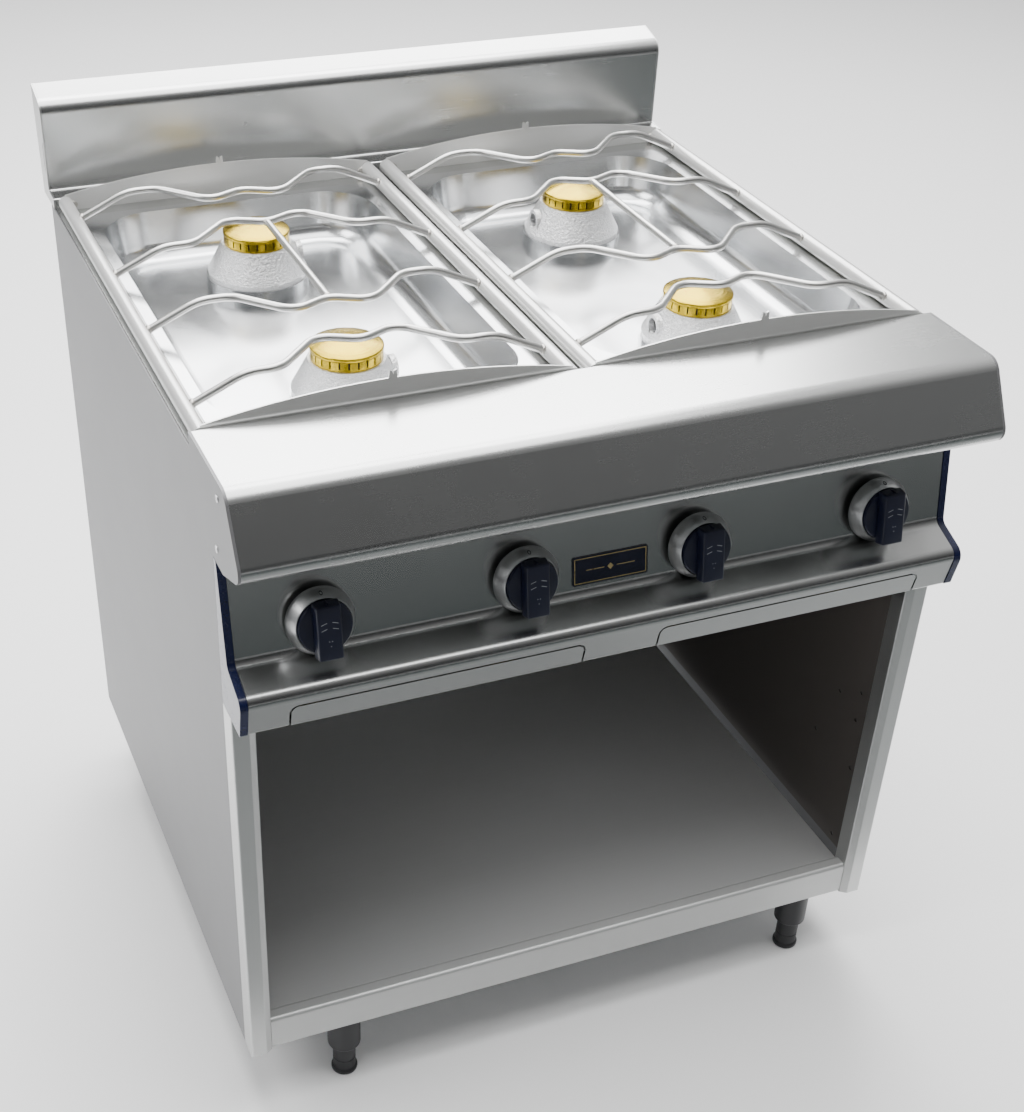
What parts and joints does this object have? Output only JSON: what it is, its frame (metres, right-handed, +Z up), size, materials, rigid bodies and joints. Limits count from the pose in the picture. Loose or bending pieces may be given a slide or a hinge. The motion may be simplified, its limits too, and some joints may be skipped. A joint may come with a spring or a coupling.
{
  "type": "gas range",
  "caption": "Catering gas range with open ring burners, lift-out wire grates, deep spill wells, knob panel, crumb trays and an open cabinet on feet.",
  "frame": {"origin": "on the floor, under the middle of the bounding box", "axes": "+X to the right as seen by the cook, +Y away from the cook, +Z up"},
  "size_m": [0.8, 0.8342, 0.9494],
  "materials": {
    "stainless_brushed": "brushed stainless sheet",
    "pressed_stainless": "smooth drawn stainless with a soft sheen",
    "zinc_steel": "zinc plated",
    "polished_bar": "polished stainless bar",
    "screw_steel": "pan head stainless screws",
    "navy_plastic": "smooth navy",
    "badge_navy": "navy enamel with a thin gold border",
    "black_plastic": "moulded black plastic",
    "knob_plastic": "moulded very dark blue plastic",
    "satin_metal": "satin turned metal",
    "brass_fitting": "machined brass",
    "copper_pipe": "drawn copper pipe",
    "cast_aluminium": "fine sand-cast aluminium",
    "pilot_steel": "turned steel",
    "spindle_steel": "turned steel",
    "burner_brass": "turned brass"
  },
  "bodies": {
    "range": {"side_panel_left": "stainless_brushed", "side_panel_right": "stainless_brushed", "front_post_left": "stainless_brushed", "front_post_right": "stainless_brushed", "inner_wall_left": "stainless_brushed", "inner_wall_right": "stainless_brushed", "back_panel": "stainless_brushed", "bottom_shelf": "stainless_brushed", "hob_deck": "stainless_brushed", "front_rail": "stainless_brushed", "front_rail_end_left": "stainless_brushed", "front_rail_end_right": "stainless_brushed", "control_panel": "stainless_brushed", "splash_front": "stainless_brushed", "splash_back": "stainless_brushed", "splash_ends": "stainless_brushed", "drip_well_left": "pressed_stainless", "drip_well_right": "pressed_stainless", "base_frame": "zinc_steel", "tray_runners": "zinc_steel", "gas_manifold": "zinc_steel", "gas_inlet": "zinc_steel", "end_screws": "screw_steel", "panel_trim_left": "navy_plastic", "panel_trim_right": "navy_plastic", "badge_plate": "badge_navy", "foot_sleeves": "black_plastic", "knob_bezels": "satin_metal", "gas_valves": "brass_fitting", "injectors": "brass_fitting", "supply_pipes": "copper_pipe", "mixing_tubes": "cast_aluminium", "pilots": "pilot_steel", "burner_crowns": "burner_brass", "burner_body_front_left": "cast_aluminium", "burner_body_front_right": "cast_aluminium", "burner_body_rear_left": "cast_aluminium", "burner_body_rear_right": "cast_aluminium"},
    "cap_front_left": {"burner_cap_front_left": "burner_brass"},
    "cap_front_right": {"burner_cap_front_right": "burner_brass"},
    "cap_rear_left": {"burner_cap_rear_left": "burner_brass"},
    "cap_rear_right": {"burner_cap_rear_right": "burner_brass"},
    "grate_left": {"grate_frame_left": "polished_bar", "grate_rods_left": "polished_bar"},
    "grate_right": {"grate_frame_right": "polished_bar", "grate_rods_right": "polished_bar"},
    "tray_left": {"crumb_tray_left": "stainless_brushed"},
    "tray_right": {"crumb_tray_right": "stainless_brushed"},
    "foot_front_left": {"foot_front_left": "black_plastic"},
    "foot_front_right": {"foot_front_right": "black_plastic"},
    "foot_rear_left": {"foot_rear_left": "black_plastic"},
    "foot_rear_right": {"foot_rear_right": "black_plastic"},
    "stem_far_left": {"spindle_far_left": "spindle_steel"},
    "dial_far_left": {"knob_far_left": "knob_plastic"},
    "stem_mid_left": {"spindle_mid_left": "spindle_steel"},
    "dial_mid_left": {"knob_mid_left": "knob_plastic"},
    "stem_mid_right": {"spindle_mid_right": "spindle_steel"},
    "dial_mid_right": {"knob_mid_right": "knob_plastic"},
    "stem_far_right": {"spindle_far_right": "spindle_steel"},
    "dial_far_right": {"knob_far_right": "knob_plastic"}
  },
  "joints": [
    {"name": "cap_front_left_lift", "type": "slide", "parent": "range", "child": "cap_front_left", "axis": [0, 0, 1], "range_m": [0, 0.06]},
    {"name": "cap_front_right_lift", "type": "slide", "parent": "range", "child": "cap_front_right", "axis": [0, 0, 1], "range_m": [0, 0.06]},
    {"name": "cap_rear_left_lift", "type": "slide", "parent": "range", "child": "cap_rear_left", "axis": [0, 0, 1], "range_m": [0, 0.06]},
    {"name": "cap_rear_right_lift", "type": "slide", "parent": "range", "child": "cap_rear_right", "axis": [0, 0, 1], "range_m": [0, 0.06]},
    {"name": "grate_left_lift", "type": "slide", "parent": "range", "child": "grate_left", "axis": [0, 0, 1], "range_m": [0, 0.08]},
    {"name": "grate_right_lift", "type": "slide", "parent": "range", "child": "grate_right", "axis": [0, 0, 1], "range_m": [0, 0.08]},
    {"name": "tray_left_slide", "type": "slide", "parent": "range", "child": "tray_left", "axis": [0, -1, 0], "range_m": [0, 0.38]},
    {"name": "tray_right_slide", "type": "slide", "parent": "range", "child": "tray_right", "axis": [0, -1, 0], "range_m": [0, 0.38]},
    {"name": "foot_front_left_screw", "type": "slide", "parent": "range", "child": "foot_front_left", "axis": [0, 0, -1], "range_m": [0, 0.025]},
    {"name": "foot_front_right_screw", "type": "slide", "parent": "range", "child": "foot_front_right", "axis": [0, 0, -1], "range_m": [0, 0.025]},
    {"name": "foot_rear_left_screw", "type": "slide", "parent": "range", "child": "foot_rear_left", "axis": [0, 0, -1], "range_m": [0, 0.025]},
    {"name": "foot_rear_right_screw", "type": "slide", "parent": "range", "child": "foot_rear_right", "axis": [0, 0, -1], "range_m": [0, 0.025]},
    {"name": "spindle_far_left_push", "type": "slide", "parent": "range", "child": "stem_far_left", "axis": [0, 0.9857, -0.1683], "range_m": [0, 0.003], "stiffness_N_per_m": 900},
    {"name": "knob_far_left_turn", "type": "hinge", "parent": "stem_far_left", "child": "dial_far_left", "pos_m": [-0.308, -0.35002, 0.67063], "axis": [0, -0.9857, 0.1683], "range_deg": [0, 180]},
    {"name": "spindle_mid_left_push", "type": "slide", "parent": "range", "child": "stem_mid_left", "axis": [0, 0.9857, -0.1683], "range_m": [0, 0.003], "stiffness_N_per_m": 900},
    {"name": "knob_mid_left_turn", "type": "hinge", "parent": "stem_mid_left", "child": "dial_mid_left", "pos_m": [-0.096, -0.35002, 0.67063], "axis": [0, -0.9857, 0.1683], "range_deg": [0, 180]},
    {"name": "spindle_mid_right_push", "type": "slide", "parent": "range", "child": "stem_mid_right", "axis": [0, 0.9857, -0.1683], "range_m": [0, 0.003], "stiffness_N_per_m": 900},
    {"name": "knob_mid_right_turn", "type": "hinge", "parent": "stem_mid_right", "child": "dial_mid_right", "pos_m": [0.096, -0.35002, 0.67063], "axis": [0, -0.9857, 0.1683], "range_deg": [0, 180]},
    {"name": "spindle_far_right_push", "type": "slide", "parent": "range", "child": "stem_far_right", "axis": [0, 0.9857, -0.1683], "range_m": [0, 0.003], "stiffness_N_per_m": 900},
    {"name": "knob_far_right_turn", "type": "hinge", "parent": "stem_far_right", "child": "dial_far_right", "pos_m": [0.308, -0.35002, 0.67063], "axis": [0, -0.9857, 0.1683], "range_deg": [0, 180]}
  ]
}
